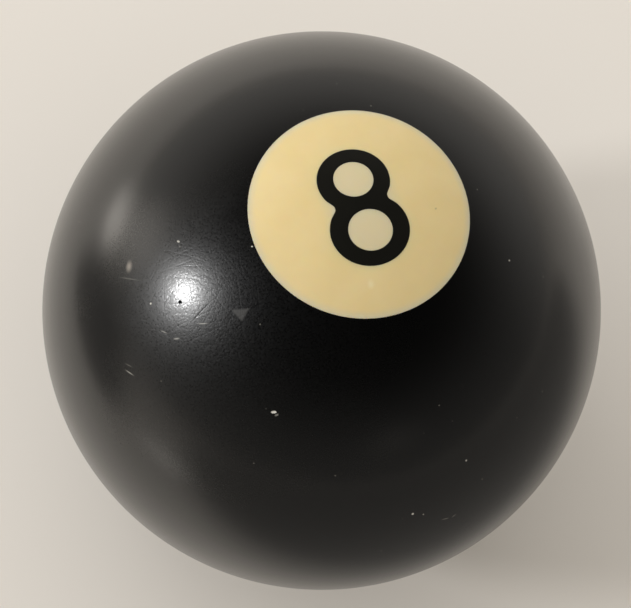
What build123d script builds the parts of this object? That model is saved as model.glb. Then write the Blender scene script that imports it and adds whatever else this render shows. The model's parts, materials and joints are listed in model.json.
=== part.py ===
"""Numbered pool ball: a solid cast-resin ball with a numbered disc let into it at each end of one axis.

The ball is made by casting one resin against another. Each numeral fills a blind recess in its
cream disc, each disc fills a blind pocket in the black body, and the whole is then ground to one
sphere, so every joint between resins is face to face and flush.

Frame: millimetres, origin at the ball's centre, +Z out through the middle of the top number disc,
+Y towards the top of its numeral.
"""

import os

from build123d import *

# Ball
ball_diameter = 57.15

# Number disc: the cream plug
disc_diameter = 20.0
disc_depth = 7.0  # from the ball's surface, on the axis, to the plug's flat back
disc_back_round = 1.0  # radius round the plug's back edge

# Numeral: the black figure, two oval loops that overlap at the waist
numeral_depth = 3.0  # from the ball's surface, on the axis, to the recess floor
upper_loop_width = 6.6
upper_loop_height = 6.25
upper_side_stroke = 1.5  # stroke at the upper loop's left and right
lower_loop_width = 7.2
lower_loop_height = 6.6
lower_side_stroke = 1.6  # stroke at the lower loop's left and right
loop_overlap = 1.6
end_stroke = 1.33  # stroke over the upper loop and under the lower one
middle_stroke = 1.35  # bar between the two counters, in the middle of the overlap
waist_round = 0.6  # fillet in each notch of the waist

# Where a cutting blank has to pass the ball's surface, it runs on by this much
overrun = 1.0

# Worked out from the values above
ball_radius = ball_diameter / 2
disc_radius = disc_diameter / 2
disc_floor = ball_radius - disc_depth
numeral_floor = ball_radius - numeral_depth
blank_top = ball_radius + overrun

# Heights up the numeral, from its middle, which is on the ball's axis
numeral_height = upper_loop_height + lower_loop_height - loop_overlap
numeral_top = numeral_height / 2
numeral_bottom = -numeral_height / 2
upper_loop_bottom = numeral_top - upper_loop_height
lower_loop_top = numeral_bottom + lower_loop_height
bar_centre = (upper_loop_bottom + lower_loop_top) / 2


def oval(width, bottom, top, mode=Mode.ADD):
    """An ellipse in the current sketch, centred on the Y axis, between two heights."""
    with Locations((0, (bottom + top) / 2)):
        Ellipse(width / 2, (top - bottom) / 2, mode=mode)


def turned_over(piece):
    """Adds the same piece for the other end of the axis, with its numeral's top still towards +Y."""
    add(piece.part, rotation=(0, 180, 0))


def hand_in(piece, name):
    """Labels a finished piece and writes it as its own STEP file."""
    piece.part.label = name
    export_step(piece.part, f"parts/{name}.step")
    print(f"{name}: {piece.part.volume:.1f} mm3")


# The ground ball as one sphere. Its poles lie on the Y axis, so that neither numbered end, on Z,
# has a pole or the sphere's seam in it.
with BuildPart() as ground_sphere:
    Sphere(ball_radius, rotation=(90, 0, 0))

# The shape that a number disc takes up, run on past the ball's surface
with BuildPart() as disc_blank:
    with BuildSketch(Plane.XY.offset(disc_floor)):
        Circle(disc_radius)
    extrude(amount=blank_top - disc_floor)
    fillet(disc_blank.edges().group_by(Axis.Z)[0], disc_back_round)

# The shape that a numeral takes up, run on past the ball's surface
with BuildPart() as numeral_blank:
    with BuildSketch(Plane.XY.offset(numeral_floor)):
        oval(upper_loop_width, upper_loop_bottom, numeral_top)
        oval(lower_loop_width, numeral_bottom, lower_loop_top)
    extrude(amount=blank_top - numeral_floor)
    # Of the upright edges, the notches are the two in the overlap; a loop's seam is at its widest
    waist_edges = numeral_blank.edges().filter_by(Axis.Z).filter_by_position(
        Axis.Y, upper_loop_bottom, lower_loop_top
    )
    fillet(waist_edges, waist_round)
    with BuildSketch(Plane.XY.offset(numeral_floor)):
        oval(
            upper_loop_width - 2 * upper_side_stroke,
            bar_centre + middle_stroke / 2,
            numeral_top - end_stroke,
        )
        oval(
            lower_loop_width - 2 * lower_side_stroke,
            numeral_bottom + end_stroke,
            bar_centre - middle_stroke / 2,
        )
    extrude(amount=blank_top - numeral_floor, mode=Mode.SUBTRACT)

# Black body, with a blind pocket at each end of the axis
with BuildPart() as ball_body:
    add(ground_sphere.part)
    add(disc_blank.part, mode=Mode.SUBTRACT)
    add(disc_blank.part, rotation=(0, 180, 0), mode=Mode.SUBTRACT)

# Cream disc, with the numeral's recess in its face
with BuildPart() as top_number_disc:
    add(disc_blank.part)
    add(ground_sphere.part, mode=Mode.INTERSECT)
    add(numeral_blank.part, mode=Mode.SUBTRACT)

# Black numeral, ground flush with the ball
with BuildPart() as top_numeral:
    add(numeral_blank.part)
    add(ground_sphere.part, mode=Mode.INTERSECT)

with BuildPart() as bottom_number_disc:
    turned_over(top_number_disc)

with BuildPart() as bottom_numeral:
    turned_over(top_numeral)

os.makedirs("parts", exist_ok=True)
hand_in(ball_body, "ball_body")
hand_in(top_number_disc, "top_number_disc")
hand_in(bottom_number_disc, "bottom_number_disc")
hand_in(top_numeral, "top_numeral")
hand_in(bottom_numeral, "bottom_numeral")
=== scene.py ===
import json
import math

import bmesh
import bpy
from mathutils import Matrix, Vector

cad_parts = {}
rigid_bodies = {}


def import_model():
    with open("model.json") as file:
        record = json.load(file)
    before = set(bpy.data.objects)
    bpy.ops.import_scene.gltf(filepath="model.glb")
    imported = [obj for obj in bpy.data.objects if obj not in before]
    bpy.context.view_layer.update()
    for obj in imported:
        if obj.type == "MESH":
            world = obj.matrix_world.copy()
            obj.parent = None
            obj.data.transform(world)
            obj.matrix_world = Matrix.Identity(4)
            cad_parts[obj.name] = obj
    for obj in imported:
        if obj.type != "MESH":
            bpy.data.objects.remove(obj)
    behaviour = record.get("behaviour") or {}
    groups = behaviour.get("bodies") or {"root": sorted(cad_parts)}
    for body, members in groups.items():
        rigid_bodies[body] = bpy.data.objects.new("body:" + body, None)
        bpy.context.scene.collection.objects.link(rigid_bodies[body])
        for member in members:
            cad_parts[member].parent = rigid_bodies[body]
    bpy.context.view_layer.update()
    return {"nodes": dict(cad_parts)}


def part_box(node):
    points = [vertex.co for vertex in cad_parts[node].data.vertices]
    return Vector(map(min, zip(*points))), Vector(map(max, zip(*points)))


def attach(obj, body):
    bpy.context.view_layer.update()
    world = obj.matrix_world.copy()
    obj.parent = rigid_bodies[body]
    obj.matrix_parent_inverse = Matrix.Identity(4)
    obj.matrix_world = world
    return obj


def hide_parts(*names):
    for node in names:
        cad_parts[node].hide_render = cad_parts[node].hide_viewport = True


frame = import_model()
print("frame loaded:", ", ".join(sorted(frame["nodes"])))

mm = 0.001  # the scene is in metres, sizes below are in millimetres
micrometre = 0.001 * mm
mergeGap = 1 * micrometre  # vertices closer than this become one
overrun = 1 * mm  # a cutting shape runs on past the ball's surface by this much

# Overall sizes, read from the frame
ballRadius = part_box("ball_body")[1].y
discLow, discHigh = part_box("top_number_disc")
numeralLow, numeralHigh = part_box("top_numeral")
discRadius = discHigh.x
rimAngle = math.asin(discRadius / ballRadius)  # from the +Z axis out to the disc's edge
ringSteps = 256  # round the axis: the same on body and disc, so that their edges meet


def arc(bm, start, centre, axis, angle, steps):
    # draws an arc of edges by spinning one vertex, and returns its two ends
    first = bm.verts.new(start)
    spun = bmesh.ops.spin(bm, geom=[first], cent=centre, axis=axis, angle=angle, steps=steps)
    last = next(g for g in spun["geom_last"] if isinstance(g, bmesh.types.BMVert))
    return first, last


def runOn(bm, vert, offset):
    # draws one straight edge on from a vertex, and returns the new end
    grown = bmesh.ops.extrude_vert_indiv(bm, verts=[vert])["verts"]
    bmesh.ops.translate(bm, verts=grown, vec=offset)
    return grown[0]


def turnRound(bm):
    # turns the drawn outline once round the Z axis, and closes the seam and the poles
    bmesh.ops.spin(bm, geom=bm.verts[:] + bm.edges[:], cent=(0, 0, 0), axis=(0, 0, 1),
                   angle=math.tau, steps=ringSteps, use_merge=True)
    bmesh.ops.remove_doubles(bm, verts=bm.verts[:], dist=mergeGap)
    bmesh.ops.dissolve_degenerate(bm, edges=bm.edges[:], dist=mergeGap / 10)
    bmesh.ops.recalc_face_normals(bm, faces=bm.faces[:])


def softenOrCrease(bm, creaseAngle=25):
    # smooth shading, kept sharp wherever two faces meet at more than the crease angle
    for face in bm.faces:
        face.smooth = True
    for edge in bm.edges:
        edge.smooth = edge.calc_face_angle(0) < math.radians(creaseAngle)


def makePiece(name, bm, material=None):
    softenOrCrease(bm)
    mesh = bpy.data.meshes.new(name)
    bm.to_mesh(mesh)
    bm.free()
    piece = bpy.data.objects.new(name, mesh)
    bpy.context.scene.collection.objects.link(piece)
    if material:
        mesh.materials.append(material)
    return piece


def standFor(piece, node):
    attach(piece, "root")
    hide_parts(node)


def sphereSpot(lon, colat):
    # a point on the ball: lon round from +X, colat down from +Z, both in degrees
    lon = math.radians(lon)
    colat = math.radians(colat)
    flat = math.sin(colat)
    return ballRadius * Vector((flat * math.cos(lon), flat * math.sin(lon), math.cos(colat)))


def markTurn(mark):
    # stands a mark on the ball: its own Z outwards, its own X at the mark's turn
    lon, colat = mark["at"]
    stand = Matrix.Rotation(math.radians(lon), 3, "Z") @ Matrix.Rotation(math.radians(colat), 3, "Y")
    return stand @ Matrix.Rotation(math.radians(mark["turn"]), 3, "Z")


def hexColour(text):
    # sRGB hex to the linear colour that the shader sockets take
    parts = [int(text[i:i + 2], 16) / 255 for i in (0, 2, 4)]
    linear = [p / 12.92 if p <= 0.04045 else ((p + 0.055) / 1.055) ** 2.4 for p in parts]
    return (*linear, 1.0)


def addNode(tree, kind, settings=None, links=None):
    # settings are node properties or input values, links are the nodes or sockets that feed its inputs
    node = tree.nodes.new("ShaderNode" + kind)
    for key, value in (settings or {}).items():
        if isinstance(key, str) and hasattr(node, key):
            setattr(node, key, value)
        else:
            node.inputs[key].default_value = value
    for key, source in (links or {}).items():
        if isinstance(source, bpy.types.Node):
            source = next(out for out in source.outputs if out.enabled)
        tree.links.new(source, node.inputs[key])
    return node


def newMaterial(name):
    # an empty material, its node tree, and the coordinates of the piece that wears it
    material = bpy.data.materials.new(name)
    material.use_nodes = True
    tree = material.node_tree
    tree.nodes.clear()
    return material, tree, addNode(tree, "TexCoord").outputs["Object"]


def inMillimetres(tree, local):
    return addNode(tree, "VectorMath", {"operation": "SCALE", "Scale": 1 / mm}, {0: local})


# Directions of the fine wear along the surface, in degrees: the scratches run every way
wearTurns = (12, 50, 83, 121, 158)
noiseRange = (0.3, 0.7)  # nearly all of a noise lies between these values
noiseSlope = 1.2  # how steeply a noise crosses its middle value, for one unit of its own scale


def drawnOut(tree, place, turn, stretch, finish):
    # the same coordinates, stretched along one direction that lies in the surface where it is rubbed
    stand = markTurn({"at": finish["wornAt"], "turn": turn}).to_euler()
    settings = {"vector_type": "TEXTURE", "Rotation": stand, "Scale": (stretch, 1, 1)}
    return addNode(tree, "Mapping", settings, {"Vector": place})


def hairline(tree, place, turn, finish):
    # long fine lines: where a noise drawn out along one direction crosses its middle value
    spacing = finish["lineSpacing"]
    drawn = drawnOut(tree, place, turn, finish["lineLength"] / spacing, finish)
    field = addNode(tree, "TexNoise", {"Scale": 1 / spacing, "Detail": 0}, {"Vector": drawn})
    off = addNode(tree, "Math", {"operation": "SUBTRACT", 1: 0.5}, {0: field})
    off = addNode(tree, "Math", {"operation": "ABSOLUTE"}, {0: off})
    edge = noiseSlope * finish["lineWidth"] / 2 / spacing
    settings = {"interpolation_type": "SMOOTHSTEP", "From Max": edge, "To Min": 1, "To Max": 0}
    return addNode(tree, "MapRange", settings, {"Value": off})


def shortScratch(tree, place, turn, finish):
    # short straight scratches: the middle of each cell, drawn out along one direction
    stretch = finish["scratchLength"] / finish["scratchWidth"]
    drawn = drawnOut(tree, place, turn, stretch, finish)
    cells = addNode(tree, "TexVoronoi", {"Scale": 1 / finish["scratchSpacing"]}, {"Vector": drawn})
    edge = finish["scratchWidth"] / 2 / finish["scratchSpacing"]
    settings = {"interpolation_type": "SMOOTHSTEP", "From Max": edge, "To Min": 1, "To Max": 0}
    return addNode(tree, "MapRange", settings, {"Value": cells})


def wornHeight(tree, place, finish):
    # height of the fine wear in micrometres: a fine grain, long hairlines and short scratches
    grainSettings = {"Scale": 1 / finish["grainSize"], "Detail": 1.0, "Roughness": 0.6}
    grain = addNode(tree, "TexNoise", grainSettings, {"Vector": place})
    height = addNode(tree, "Math", {"operation": "MULTIPLY", 1: finish["grainDepth"]}, {0: grain})
    for turn in wearTurns:
        line = hairline(tree, place, turn, finish)
        settings = {"operation": "MULTIPLY_ADD", 1: -finish["lineDepth"]}
        height = addNode(tree, "Math", settings, {0: line, 2: height})
    for turn in wearTurns:
        scratch = shortScratch(tree, place, turn, finish)
        settings = {"operation": "MULTIPLY_ADD", 1: -finish["scratchDepth"]}
        height = addNode(tree, "Math", settings, {0: scratch, 2: height})
    return height


markDefaults = {"rough": 0.45, "share": 1.0, "core": 0.5}  # for a mark that doesn't say otherwise
markReach = 4.0  # how far in from the surface a mark's colour goes, in millimetres


def markMask(tree, place, mark):
    # 1 inside a mark on the ball and 0 outside it: an oval, or a blunt three-cornered patch
    length, width = mark["size"]
    settings = {
        "vector_type": "TEXTURE",
        "Location": sphereSpot(*mark["at"]) / mm,
        "Rotation": markTurn(mark).to_euler(),
        "Scale": (length / 2, width / 2, markReach),
    }
    local = addNode(tree, "Mapping", settings, {"Vector": place})
    if mark.get("threeCornered"):
        away = addNode(tree, "VectorMath", {"operation": "DOT_PRODUCT", 1: (0, 0, -1)}, {0: local})
        for angle in (90, 210, 330):
            facing = (math.cos(math.radians(angle)), math.sin(math.radians(angle)), 0)
            side = addNode(tree, "VectorMath", {"operation": "DOT_PRODUCT", 1: facing}, {0: local})
            away = addNode(tree, "Math", {"operation": "MAXIMUM"}, {0: away, 1: side})
    else:
        away = addNode(tree, "VectorMath", {"operation": "LENGTH"}, {0: local})
    settings = {"interpolation_type": "SMOOTHSTEP", "From Min": mark["core"], "To Min": mark["share"],
                "To Max": 0}
    return addNode(tree, "MapRange", settings, {"Value": away})


def polishedResin(tree, finish, colour, rough, height, more=None):
    # the shader that the three resins share: ground, polished, and scratched by play
    bump = addNode(tree, "Bump", {"Strength": 1.0, "Distance": micrometre}, {"Height": height})
    settings = {
        "IOR": finish["ior"],
        "Coat Weight": finish["coatShare"],
        "Coat Roughness": finish["coatRoughness"],
        "Coat IOR": finish["ior"],
    }
    settings.update(more or {})
    links = {"Base Color": colour, "Roughness": rough, "Normal": bump, "Coat Normal": bump}
    shader = addNode(tree, "BsdfPrincipled", settings, links)
    addNode(tree, "OutputMaterial", None, {"Surface": shader})


# Black phenolic resin, cast, ground and polished, then dulled by play: a deep black under a clear
# reflection, with a wide grainy haze round each light, where the rubbed side scatters it.
# The real scratches are a few micrometres wide, and are drawn as coarse as they need to show.
# Sizes and spacings are in millimetres, the depths of the wear in micrometres.
bodyFinish = {
    "black": "040404",
    "ior": 1.55,
    "rough": 0.25,
    "wornRough": 0.312,
    "wornAt": (-152, 34),  # lon and colat of the middle of the most rubbed side
    "wornReach": 13.0,
    "wornEdge": (0.6, 1.3),  # where the rubbed side starts to fade and ends, in reaches
    "elsewhere": 0.15,  # how rubbed the rest of the ball is
    "cloudSize": 7.0,
    "cloudReach": 4.0,
    "grainSize": 0.17,
    "grainDepth": 7.5,
    "grainRough": 0.12,  # how far the roughness differs from one grain to the next
    "lineSpacing": 1.3,
    "lineLength": 14.0,
    "lineWidth": 0.09,
    "lineDepth": 1.5,
    "scratchSpacing": 0.8,
    "scratchLength": 1.0,
    "scratchWidth": 0.1,
    "scratchDepth": 2.2,
    "coatShare": 0.18,
    "coatRoughness": 0.17,
    "dustSpacing": 2.2,
    "dustEdge": (0.02, 0.045),  # where a speck starts to fade and ends, in spacings
    "dustShare": 0.4,
    "dust": "8d8a80",
}

# Marks on the body: wear and dust, painted glints on a few scratches, and one painted reflection. Places
# are lon and colat in degrees, sizes are length and width in millimetres, and the pressed ones are that
# deep in the mesh, in millimetres too.
bodyMarks = {
    "pit": {"at": (-171.0, 37.4), "turn": 0, "size": (0.33, 0.31), "colour": "010101", "rough": 1.0,
            "pressed": 0.17, "core": 0.8},
    "chip": {"at": (-129.6, 40.7), "turn": 118, "size": (0.6, 0.3), "colour": "d8d5cc",
             "rough": 0.6, "pressed": 0.07, "core": 0.6},
    "chipTail": {"at": (-128.6, 41.0), "turn": 140, "size": (0.5, 0.24), "colour": "6e6b64",
                 "rough": 0.6, "pressed": 0.04},
    "crumb": {"at": (-131.9, 40.7), "turn": 102, "size": (0.2, 0.16), "colour": "3a3834"},
    "scuff": {"at": (-155.3, 29.1), "turn": 142, "size": (1.2, 0.92), "colour": "373634",
              "rough": 0.5, "threeCornered": True, "share": 0.8, "core": 0.5},
    "slash": {"at": (-164.7, 35.0), "turn": -171, "size": (3.4, 0.2), "colour": "020202",
              "rough": 0.6, "share": 0.7, "pressed": 0.006},
    "nick": {"at": (-165.0, 54.8), "turn": 119, "size": (1.5, 0.2), "colour": "a09d94",
             "pressed": 0.015, "share": 0.7, "core": 0.1},
    "nickSide": {"at": (-166.4, 54.0), "turn": 126, "size": (1.4, 0.2), "colour": "77746c",
                 "share": 0.4, "core": 0.1},
    # Short scratches in the haze round the lamp's highlight: real wear, painted pale where they catch
    # the lamp, so their glint is painted into the colour.
    "tickLeft": {"at": (-166.9, 43.2), "turn": 127, "size": (1.1, 0.15), "colour": "8d8a84",
                 "share": 0.8, "core": 0.1},
    "tickMiddle": {"at": (-163.2, 41.7), "turn": 149, "size": (0.9, 0.24), "colour": "9a9790",
                   "share": 0.8, "core": 0.1},
    "tickRight": {"at": (-161.5, 35.8), "turn": 144, "size": (1.4, 0.13), "colour": "a5a29a",
                  "share": 0.8, "core": 0.1},
    "lineLeft": {"at": (175.6, 46.2), "turn": 152, "size": (3.6, 0.14), "colour": "6b6962",
                 "share": 0.6, "core": 0.1},
    # A painted reflection: a soft rosy spot where the polish mirrors a small bright light.
    "paintedReflectionSpot": {"at": (172.5, 45.7), "turn": 70, "size": (1.5, 1.0), "colour": "aaa094",
                 "share": 0.55, "core": 0.0},
    "speckHaze": {"at": (-175.4, 43.1), "turn": 0, "size": (0.26, 0.24), "colour": "c9c6bd"},
    "speckOver": {"at": (170.9, 34.2), "turn": 145, "size": (0.4, 0.24), "colour": "a8a59c"},
    "speckDisc": {"at": (-176.3, 21.0), "turn": 142, "size": (0.22, 0.18), "colour": "b5b2a8"},
    "speckRight": {"at": (-30.2, 30.1), "turn": 0, "size": (0.24, 0.22), "colour": "a8a59c"},
    "speckLow": {"at": (-78.4, 53.0), "turn": 0, "size": (0.26, 0.22), "colour": "c0bdb3"},
    "speckLimb": {"at": (-92.0, 61.6), "turn": 0, "size": (0.34, 0.28), "colour": "c9c6bd"},
    "speckLimbSide": {"at": (-89.6, 62.6), "turn": 0, "size": (0.24, 0.2), "colour": "8d8a80"},
    "fibre": {"at": (-84.6, 66.4), "turn": 75, "size": (1.0, 0.16), "colour": "8d8a80",
              "share": 0.8, "core": 0.1},
    "fibreCurl": {"at": (-82.6, 66.6), "turn": 115, "size": (0.7, 0.16), "colour": "77746c",
                  "share": 0.8, "core": 0.1},
}


def rubbedSide(tree, place, finish):
    # 1 on the side that has rubbed most, with a cloudy edge, and less elsewhere
    middle = sphereSpot(*finish["wornAt"]) / mm
    away = addNode(tree, "VectorMath", {"operation": "DISTANCE", 1: middle}, {0: place})
    cloud = addNode(tree, "TexNoise", {"Scale": 1 / finish["cloudSize"]}, {"Vector": place})
    lowest, highest = noiseRange
    reach = finish["cloudReach"]
    settings = {"From Min": lowest, "From Max": highest, "To Min": -reach, "To Max": reach}
    cloud = addNode(tree, "MapRange", settings, {"Value": cloud})
    edge = addNode(tree, "Math", {"operation": "ADD"}, {0: away, 1: cloud})
    starts, ends = [finish["wornReach"] * share for share in finish["wornEdge"]]
    settings = {"interpolation_type": "SMOOTHSTEP", "From Min": starts, "From Max": ends, "To Min": 1,
                "To Max": finish["elsewhere"]}
    return addNode(tree, "MapRange", settings, {"Value": edge})


def bodyMaterial():
    f = bodyFinish
    material, tree, local = newMaterial("blackCastPhenolic")
    place = inMillimetres(tree, local)
    worn = rubbedSide(tree, place, f)
    height = wornHeight(tree, place, f)
    height = addNode(tree, "Math", {"operation": "MULTIPLY"}, {0: height, 1: worn})

    settings = {"To Min": f["rough"], "To Max": f["wornRough"]}
    rough = addNode(tree, "MapRange", settings, {"Value": worn})
    grain = addNode(tree, "TexNoise", {"Scale": 1 / f["grainSize"], "Detail": 1}, {"Vector": place})
    lowest, highest = noiseRange
    settings = {"From Min": lowest, "From Max": highest, "To Min": -f["grainRough"] / 2,
                "To Max": f["grainRough"] / 2}
    grain = addNode(tree, "MapRange", settings, {"Value": grain})
    rough = addNode(tree, "Math", {"operation": "MULTIPLY_ADD"}, {0: grain, 1: worn, 2: rough})

    specks = addNode(tree, "TexVoronoi", {"Scale": 1 / f["dustSpacing"]}, {"Vector": place})
    starts, ends = f["dustEdge"]
    settings = {"interpolation_type": "SMOOTHSTEP", "From Min": starts, "From Max": ends,
                "To Min": f["dustShare"], "To Max": 0}
    specks = addNode(tree, "MapRange", settings, {"Value": specks})
    settings = {"data_type": "RGBA", 6: hexColour(f["black"]), 7: hexColour(f["dust"])}
    colour = addNode(tree, "Mix", settings, {0: specks})

    for mark in bodyMarks.values():
        mark = {**markDefaults, **mark}
        inside = markMask(tree, place, mark)
        settings = {"data_type": "RGBA", 7: hexColour(mark["colour"])}
        colour = addNode(tree, "Mix", settings, {0: inside, 6: colour})
        rough = addNode(tree, "Mix", {3: mark["rough"]}, {0: inside, 2: rough})
    polishedResin(tree, f, colour, rough, height)
    return material


# Cream phenolic resin: slightly translucent, so its edges against the black look soft, yellowed
# by age, paler at the rim and greyer close to the black of the figure.
creamFinish = {
    "wornAt": (0, 0),  # its scratches lie along the middle of its face
    "cream": "e9d49e",
    "old": "dfc88c",
    "rim": "d9cfb4",
    "byTheFigure": "dccea8",
    "ior": 1.55,
    "rough": (0.3, 0.36),
    "scatterShare": 0.5,
    "scatterReach": (1.2, 0.8, 0.35),
    "rimWidth": 0.8,
    "rimShare": 0.6,
    "figureEdge": (0.6, 1.1),  # where the greyer cream starts to fade and ends, in half figures
    "cloudSize": 5.5,
    "cloudEdge": (0.35, 0.7),
    "cloudShare": 0.45,
    "coatShare": 0.18,
    "coatRoughness": 0.2,
    "lineSpacing": 1.6,
    "lineLength": 12.0,
    "lineWidth": 0.07,
    "lineDepth": 0.35,
    "scratchSpacing": 1.5,
    "scratchLength": 1.4,
    "scratchWidth": 0.12,
    "scratchDepth": 0.8,
    "grainSize": 0.3,
    "grainDepth": 2.0,
}


# Marks on the cream of the disc, given as the body's are: a painted highlight and a dark speck
creamMarks = {
    # A painted highlight: a soft pale spot where the cream mirrors a small light.
    "paintedHighlightSpot": {"at": (-101, 14.5), "turn": 0, "size": (1.2, 0.8), "colour": "f3e6c0", "share": 0.6,
                 "core": 0.0},
    "darkSpeck": {"at": (-15, 13.6), "turn": 40, "size": (0.3, 0.2), "colour": "a89c78", "share": 0.6},
}


def creamMaterial():
    f = creamFinish
    material, tree, local = newMaterial("creamCastPhenolic")
    place = inMillimetres(tree, local)
    noiseSettings = {"Scale": 1 / f["cloudSize"], "Detail": 3, "Roughness": 0.6}
    clouds = addNode(tree, "TexNoise", noiseSettings, {"Vector": place})
    starts, ends = f["cloudEdge"]
    settings = {"From Min": starts, "From Max": ends, "To Max": f["cloudShare"]}
    share = addNode(tree, "MapRange", settings, {"Value": clouds})
    settings = {"data_type": "RGBA", 6: hexColour(f["cream"]), 7: hexColour(f["old"])}
    colour = addNode(tree, "Mix", settings, {0: share})

    flat = addNode(tree, "VectorMath", {"operation": "MULTIPLY", 1: (1, 1, 0)}, {0: place})
    fromAxis = addNode(tree, "VectorMath", {"operation": "LENGTH"}, {0: flat})
    discEdge = discRadius / mm
    settings = {"interpolation_type": "SMOOTHSTEP", "From Min": discEdge - f["rimWidth"],
                "From Max": discEdge, "To Max": f["rimShare"]}
    rim = addNode(tree, "MapRange", settings, {"Value": fromAxis})
    settings = {"data_type": "RGBA", 7: hexColour(f["rim"])}
    colour = addNode(tree, "Mix", settings, {0: rim, 6: colour})

    halfSizes = (mm / numeralHigh.x, mm / numeralHigh.y, 0)
    figure = addNode(tree, "VectorMath", {"operation": "MULTIPLY", 1: halfSizes}, {0: place})
    figure = addNode(tree, "VectorMath", {"operation": "LENGTH"}, {0: figure})
    starts, ends = f["figureEdge"]
    settings = {"interpolation_type": "SMOOTHSTEP", "From Min": starts, "From Max": ends, "To Min": 1,
                "To Max": 0}
    figure = addNode(tree, "MapRange", settings, {"Value": figure})
    settings = {"data_type": "RGBA", 7: hexColour(f["byTheFigure"])}
    colour = addNode(tree, "Mix", settings, {0: figure, 6: colour})
    for mark in creamMarks.values():
        mark = {**markDefaults, **mark}
        settings = {"data_type": "RGBA", 7: hexColour(mark["colour"])}
        colour = addNode(tree, "Mix", settings, {0: markMask(tree, place, mark), 6: colour})

    lowest, highest = f["rough"]
    rough = addNode(tree, "MapRange", {"To Min": lowest, "To Max": highest}, {"Value": clouds})
    scatter = {
        "Subsurface Weight": f["scatterShare"],
        "Subsurface Radius": f["scatterReach"],
        "Subsurface Scale": 1 * mm,
    }
    polishedResin(tree, f, colour, rough, wornHeight(tree, place, f), scatter)
    return material


# Black phenolic resin of the numeral, a softer and slightly browner black than the body's
numeralFinish = {
    **creamFinish,  # scratched as the disc round it
    "black": "13120e",
    "brown": "16150f",
    "rough": (0.32, 0.38),
    "cloudSize": 2.5,
}


def numeralMaterial():
    f = numeralFinish
    material, tree, local = newMaterial("numeralCastPhenolic")
    place = inMillimetres(tree, local)
    clouds = addNode(tree, "TexNoise", {"Scale": 1 / f["cloudSize"]}, {"Vector": place})
    settings = {"data_type": "RGBA", 6: hexColour(f["black"]), 7: hexColour(f["brown"])}
    colour = addNode(tree, "Mix", settings, {0: clouds})
    lowest, highest = f["rough"]
    rough = addNode(tree, "MapRange", {"To Min": lowest, "To Max": highest}, {"Value": clouds})
    polishedResin(tree, f, colour, rough, wornHeight(tree, place, f))
    return material


# The back edge of a disc, and the corner of the pocket that it fills
backEdge = {
    "round": 1.0,
    "steps": 6,
}

body = {
    "arcSteps": 180,  # faces from the top disc's edge down to the bottom one's
    "markCuts": (3, 3),  # how finely the faces under a pressed mark are divided, twice over
    "markMargin": 0.5,  # how far round a pressed mark they are divided
}


def backOutline(bm, rim, side):
    # wall, rounded corner and flat, drawn on from a disc's rim; side is 1 above, -1 below
    corner = runOn(bm, rim, (0, 0, side * (discLow.z - abs(rim.co.z))))
    runOn(bm, corner, (-discRadius, 0, 0))
    bmesh.ops.bevel(bm, geom=[corner], offset=backEdge["round"] * mm, segments=backEdge["steps"],
                    profile=0.5, affect="VERTICES", material=-1)


def awayFrom(mark, point, margin=0.0):
    # how far a point of the ball is from a mark's middle: 1 at the mark's edge, widened by the margin
    length, width = [(size / 2 + margin) * mm for size in mark["size"]]
    local = markTurn(mark).transposed() @ (point - sphereSpot(*mark["at"]))
    if abs(local.z) > length:
        return math.inf
    return Vector((local.x / length, local.y / width)).length


def divideUnder(bm, marks):
    # divides the faces under the pressed marks, and sets the new vertices on the ball's surface
    for cuts in body["markCuts"]:
        near = []
        for edge in bm.edges:
            middle = (edge.verts[0].co + edge.verts[1].co) / 2
            if any(awayFrom(mark, middle, body["markMargin"]) < 1 for mark in marks):
                near.append(edge)
        made = bmesh.ops.subdivide_edges(bm, edges=near, cuts=cuts, use_grid_fill=True)["geom"]
        for part in made:
            if isinstance(part, bmesh.types.BMVert):
                part.co = part.co.normalized() * ballRadius


def pressIn(bm, mark):
    # gives a mark real depth, deepest in its middle
    for vert in bm.verts:
        away = awayFrom(mark, vert.co)
        if away < 1:
            vert.co -= vert.co.normalized() * mark["pressed"] * mm * (1 - away)


def buildBody():
    bm = bmesh.new()
    topRim = sphereSpot(0, math.degrees(rimAngle))
    first, last = arc(bm, topRim, (0, 0, 0), (0, 1, 0), math.pi - 2 * rimAngle, body["arcSteps"])
    backOutline(bm, first, 1)
    backOutline(bm, last, -1)
    turnRound(bm)
    pressedMarks = [mark for mark in bodyMarks.values() if "pressed" in mark]
    divideUnder(bm, pressedMarks)
    for mark in pressedMarks:
        pressIn(bm, mark)
    return makePiece("ballBody", bm, bodyMaterial())


disc = {
    "capSteps": 40,  # rings from the axis to the disc's edge
}

numeral = {
    "upperWidth": 6.6,
    "upperHeight": 6.25,
    "upperSide": 1.5,  # stroke at the upper loop's sides
    "lowerHeight": 6.6,
    "lowerSide": 1.6,
    "endStroke": 1.33,  # stroke at the top and the bottom
    "middleStroke": 1.35,
    "waistRound": 0.6,
}
ovalSteps = 96
waistReach = 0.8  # where the curve of a notch starts on each side of it, in waist rounds
waistSteps = 8
notchHalvings = 40


def discSolid():
    bm = bmesh.new()
    top, rim = arc(bm, (0, 0, ballRadius), (0, 0, 0), (0, 1, 0), rimAngle, disc["capSteps"])
    backOutline(bm, rim, 1)
    turnRound(bm)
    return bm


def oval(bm, width, bottom, top):
    # an ellipse of loose edges on the numeral's centre line, between two heights
    ring = bmesh.ops.create_circle(bm, radius=0.5, segments=ovalSteps)["verts"]
    bmesh.ops.scale(bm, verts=ring, vec=(width, top - bottom, 1))
    bmesh.ops.translate(bm, verts=ring, vec=(0, (bottom + top) / 2, 0))
    return ring


def insideOval(point, width, bottom, top):
    x = point.x / (width / 2)
    y = (point.y - (bottom + top) / 2) / ((top - bottom) / 2)
    return x * x + y * y < 1


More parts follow.
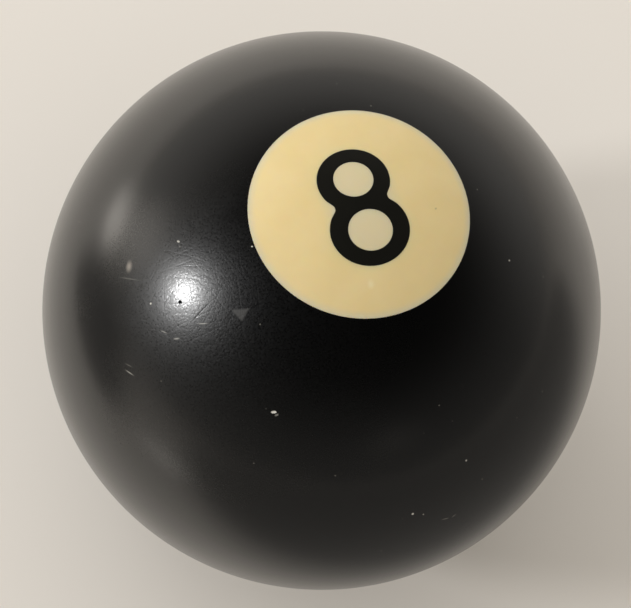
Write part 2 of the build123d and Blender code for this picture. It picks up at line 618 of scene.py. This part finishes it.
def notchPoint(lower, upper):
    # where the outlines of the two loops cross, on the right: halves an arc of the upper one
    width, bottom, top = upper
    low, high = -math.pi / 2, 0.0
    for _ in range(notchHalvings):
        angle = (low + high) / 2
        height = (bottom + top) / 2 + (top - bottom) / 2 * math.sin(angle)
        point = Vector((width / 2 * math.cos(angle), height, 0))
        if insideOval(point, *lower):
            low = angle
        else:
            high = angle
    return point


def numeralBlank():
    # the figure's outline with both counters, drawn flat, filled and pulled up past the ball's surface
    n = {key: value * mm for key, value in numeral.items()}
    top, bottom = numeralHigh.y, numeralLow.y
    upper = (n["upperWidth"], top - n["upperHeight"], top)
    lower = (numeralHigh.x - numeralLow.x, bottom, bottom + n["lowerHeight"])
    barCentre = (upper[1] + lower[2]) / 2
    notch = notchPoint(lower, upper)

    bm = bmesh.new()
    clear = 2 * waistReach * n["waistRound"]  # the outline is straight this far from a notch
    for ring, other in ((oval(bm, *upper), lower), (oval(bm, *lower), upper)):
        unwanted = [v for v in ring if insideOval(v.co, *other)
                    or (Vector((abs(v.co.x), v.co.y, 0)) - notch).length < clear]
        bmesh.ops.delete(bm, geom=unwanted, context="VERTS")
    for side in (-1, 1):
        corner = bm.verts.new((side * notch.x, notch.y, 0))
        loose = [v for v in bm.verts if len(v.link_edges) == 1]
        loose.sort(key=lambda v: (v.co - corner.co).length)
        for end in loose[:2]:
            bm.edges.new((corner, end))
        bmesh.ops.bevel(bm, geom=[corner], offset=waistReach * n["waistRound"], segments=waistSteps,
                        profile=0.5, affect="VERTICES", material=-1)
    upperCounter = (n["upperWidth"] - 2 * n["upperSide"], barCentre + n["middleStroke"] / 2)
    lowerCounter = (lower[0] - 2 * n["lowerSide"], bottom + n["endStroke"])
    oval(bm, *upperCounter, top - n["endStroke"])
    oval(bm, *lowerCounter, barCentre - n["middleStroke"] / 2)
    bmesh.ops.translate(bm, verts=bm.verts[:], vec=(0, 0, numeralLow.z))
    bmesh.ops.triangle_fill(bm, use_beauty=True, use_dissolve=False, edges=bm.edges[:])
    grown = bmesh.ops.extrude_face_region(bm, geom=bm.faces[:])["geom"]
    raised = [g for g in grown if isinstance(g, bmesh.types.BMVert)]
    bmesh.ops.translate(bm, verts=raised, vec=(0, 0, ballRadius + overrun - numeralLow.z))
    bmesh.ops.recalc_face_normals(bm, faces=bm.faces[:])
    return bm


def trimmed(name, solid, tool, operation, material):
    # cuts one solid with another, and gives back the finished piece
    piece = makePiece(name, solid)
    cutter = makePiece(name + "Cutter", tool)
    boolean = piece.modifiers.new("trim", "BOOLEAN")
    boolean.operation = operation
    boolean.solver = "EXACT"
    boolean.object = cutter
    evaluated = piece.evaluated_get(bpy.context.evaluated_depsgraph_get())
    mesh = bpy.data.meshes.new_from_object(evaluated)
    bpy.data.objects.remove(piece)
    bpy.data.objects.remove(cutter)
    bm = bmesh.new()
    bm.from_mesh(mesh)
    bmesh.ops.remove_doubles(bm, verts=bm.verts[:], dist=mergeGap)
    bmesh.ops.recalc_face_normals(bm, faces=bm.faces[:])
    return makePiece(name, bm, material)


def otherEnd(piece, name):
    # the same piece for the other end of the axis, its numeral's top still towards +Y
    mesh = piece.data.copy()
    mesh.transform(Matrix.Rotation(math.pi, 4, "Y"))
    copy = bpy.data.objects.new(name, mesh)
    bpy.context.scene.collection.objects.link(copy)
    return copy


def buildNumberedEnds():
    topDisc = trimmed("topNumberDisc", discSolid(), numeralBlank(), "DIFFERENCE", creamMaterial())
    topNumeral = trimmed("topNumeral", discSolid(), numeralBlank(), "INTERSECT", numeralMaterial())
    standFor(topDisc, "top_number_disc")
    standFor(topNumeral, "top_numeral")
    standFor(otherEnd(topDisc, "bottomNumberDisc"), "bottom_number_disc")
    standFor(otherEnd(topNumeral, "bottomNumeral"), "bottom_numeral")


standFor(buildBody(), "ball_body")
print("body built")
buildNumberedEnds()
print("number discs and numerals built")
for piece in bpy.context.scene.objects:
    if piece.type == "MESH" and not piece.hide_render:
        print(" ", piece.name, len(piece.data.polygons), "faces", tuple(piece.dimensions / mm))


# Matt pale laminate: nearly white, with no gloss to mirror the lamp or the cards
floor = {
    "halfWidth": 2.0,  # metres
    "colours": ("e8e2da", "eae5de"),
    "cloudSize": 60,
}


def buildFloor():
    bm = bmesh.new()
    bmesh.ops.create_grid(bm, x_segments=8, y_segments=8, size=floor["halfWidth"])
    bmesh.ops.translate(bm, verts=bm.verts[:], vec=(0, 0, -ballRadius))
    material, tree, local = newMaterial("paleLaminate")
    place = inMillimetres(tree, local)
    clouds = addNode(tree, "TexNoise", {"Scale": 1 / floor["cloudSize"]}, {"Vector": place})
    darker, paler = [hexColour(text) for text in floor["colours"]]
    colour = addNode(tree, "Mix", {"data_type": "RGBA", 6: darker, 7: paler}, {0: clouds})
    shader = addNode(tree, "BsdfDiffuse", None, {"Color": colour})
    addNode(tree, "OutputMaterial", None, {"Surface": shader})
    makePiece("floor", bm, material)


studio = {
    "lampFrom": (-0.857, 0.18, 0.462),  # small lamp, low on the left
    "lamp": (0.95, 9.0),  # strength and angle, on matt surfaces: a soft shadow
    "glare": (1.55, 4.0),  # the same lamp as the polish mirrors it
    "fills": {"left": ((-0.55, 0.62, 0.55), 1.15), "far": ((0.05, 0.85, 0.52), 0.88)},  # from, and watts
    "lightDistance": 0.6,  # metres, as is the size of a fill
    "fillSize": 0.5,
    "ambient": 0.56,
    "ambientColour": "fffaf2",
    "farSide": (0.1, 0.99, 0.0),  # the room is pale on this side
    "farEdge": (-0.5, 0.5),  # across the room, from the dim side to the pale one
    "heightEdge": (0.1, 0.8),  # upwards, from the walls to overhead
    "overhead": 0.01,
    "roomNear": 0.17,
    "roomFar": 0.56,
    "cardColour": "fff8ee",
}

# Soft cards that only the ball's polish mirrors. Those that stand face the ball, the others lie
# on the floor.
# Direction is in degrees from +X, distance, height and half sizes in millimetres.
cards = {
    "window": {"direction": 139, "distance": 210, "stands": True, "across": 50, "along": 44,
               "height": 14, "bright": 4.2, "core": 0.1},
    "windowHaze": {"direction": 147, "distance": 230, "stands": True, "across": 66, "along": 60,
                   "height": 84, "bright": 2.1, "core": 0.1},
    "farWall": {"direction": 275, "distance": 210, "stands": True, "across": 60, "along": 28,
                "height": 105, "bright": 0.3, "core": 0.1},
    "glint": {"direction": 207, "distance": 128, "stands": False, "across": 34, "along": 34,
              "bright": 1.6, "core": 0.2},
    "shade": {"direction": 167, "distance": 92, "stands": True, "across": 47, "along": 46,
              "height": 10, "bright": 0.2, "core": 0.5},
    # Painted shade in the reflection: a dim sheet on the floor, which the polish mirrors as the near
    # side of the room in the viewer's shade.
    "viewerShade": {"direction": 282, "distance": 500, "stands": False, "across": 700, "along": 475,
               "bright": 0.245, "core": 0.93},
}
cardGap = 0.3 * mm  # between one lying card and the next


def cardMaterial(name, card):
    # glows in the middle and is clear at the edge
    material, tree, local = newMaterial(name)
    away = addNode(tree, "VectorMath", {"operation": "LENGTH"}, {0: local})
    settings = {"interpolation_type": "SMOOTHSTEP", "From Min": card["core"], "To Min": 1, "To Max": 0}
    share = addNode(tree, "MapRange", settings, {"Value": away})
    settings = {"Strength": card["bright"], "Color": hexColour(studio["cardColour"])}
    light = addNode(tree, "Emission", settings)
    clear = addNode(tree, "BsdfTransparent")
    mixed = addNode(tree, "MixShader", None, {0: share, 1: clear, 2: light})
    addNode(tree, "OutputMaterial", None, {"Surface": mixed})
    return material


def setCard(name, card, level):
    bm = bmesh.new()
    bmesh.ops.create_grid(bm, x_segments=1, y_segments=1, size=1.0)
    panel = makePiece(name + "Card", bm, cardMaterial(name + "Card", card))
    direction = math.radians(card["direction"])
    place = Vector((math.cos(direction), math.sin(direction), 0)) * card["distance"] * mm
    place.z = level - ballRadius
    turn = Matrix.Rotation(direction - math.pi / 2, 4, "Z")
    if card["stands"]:
        turn = turn @ Matrix.Rotation(math.pi / 2, 4, "X")
        place.z = card["height"] * mm - ballRadius
    size = Matrix.Diagonal((card["across"] * mm, card["along"] * mm, 1, 1))
    panel.matrix_world = Matrix.Translation(place) @ turn @ size
    panel.visible_camera = False
    panel.visible_diffuse = False
    panel.visible_shadow = False


def addLight(name, kind, energy, direction):
    data = bpy.data.lights.new(name, kind)
    data.energy = energy
    light = bpy.data.objects.new(name, data)
    light.rotation_euler = Vector(direction).to_track_quat("Z", "Y").to_euler()
    light.location = Vector(direction).normalized() * studio["lightDistance"]
    bpy.context.scene.collection.objects.link(light)
    return light


def lightStudio():
    s = studio
    for name in ("lamp", "glare"):
        strength, angle = s[name]
        lamp = addLight(name, "SUN", strength, s["lampFrom"])
        lamp.data.angle = math.radians(angle)
        lamp.visible_diffuse = name == "lamp"
        lamp.visible_glossy = name == "glare"
    for name, (direction, watts) in s["fills"].items():
        fill = addLight(name + "Fill", "AREA", watts, direction)
        fill.data.size = s["fillSize"]
        fill.visible_glossy = False  # lights the floor and the cream without a highlight of its own
    for count, (name, card) in enumerate(cards.items()):
        setCard(name, card, (1 + count) * cardGap)


def paintRoom():
    # the polish and the camera see a dim room, paler on the far side; matt surfaces get even light
    s = studio
    world = bpy.data.worlds.new("studio")
    world.use_nodes = True
    bpy.context.scene.world = world
    tree = world.node_tree
    tree.nodes.clear()
    look = addNode(tree, "TexCoord").outputs["Generated"]
    far = addNode(tree, "VectorMath", {"operation": "DOT_PRODUCT", 1: s["farSide"]}, {0: look})
    starts, ends = s["farEdge"]
    settings = {"interpolation_type": "SMOOTHSTEP", "From Min": starts, "From Max": ends,
                "To Min": s["roomNear"], "To Max": s["roomFar"]}
    room = addNode(tree, "MapRange", settings, {"Value": far})
    height = addNode(tree, "SeparateXYZ", None, {0: look}).outputs["Z"]
    starts, ends = s["heightEdge"]
    settings = {"interpolation_type": "SMOOTHSTEP", "From Min": starts, "From Max": ends,
                "To Min": 1, "To Max": 0}
    low = addNode(tree, "MapRange", settings, {"Value": height})
    settings = {"operation": "MULTIPLY_ADD", 2: s["overhead"]}
    level = addNode(tree, "Math", settings, {0: room, 1: low})
    matt = addNode(tree, "LightPath").outputs["Is Diffuse Ray"]
    level = addNode(tree, "Mix", {3: s["ambient"]}, {0: matt, 2: level})
    settings = {"Color": hexColour(s["ambientColour"])}
    back = addNode(tree, "Background", settings, {"Strength": level})
    addNode(tree, "OutputWorld", None, {"Surface": back})


view = {
    "azimuth": -36.75,
    "elevation": 69.4,
    "roll": 20.5,
    "distance": 6.2,  # ball radii from the ball's centre
    "lens": 97.5,
    "sensor": 36,
    "nearest": 0.005,
    "left": 0.62,  # mm that the framing is left of the ball's centre, and above it
    "above": 0.66,
}


def placeCamera():
    v = view
    data = bpy.data.cameras.new("camera")
    data.lens = v["lens"]
    data.sensor_width = v["sensor"]
    data.clip_start = v["nearest"]
    camera = bpy.data.objects.new("camera", data)
    turn = Matrix.Rotation(math.radians(v["azimuth"]), 4, "Z")
    turn = turn @ Matrix.Rotation(math.radians(90 - v["elevation"]), 4, "X")
    turn = turn @ Matrix.Rotation(math.radians(v["roll"]), 4, "Z")
    offset = Vector((-v["left"] * mm, v["above"] * mm, v["distance"] * ballRadius))
    camera.matrix_world = Matrix.Translation(turn @ offset) @ turn
    bpy.context.scene.collection.objects.link(camera)
    bpy.context.scene.camera = camera


buildFloor()
lightStudio()
paintRoom()
placeCamera()
bpy.context.scene.view_settings.view_transform = "Standard"
print("floor, lights, room and camera placed")
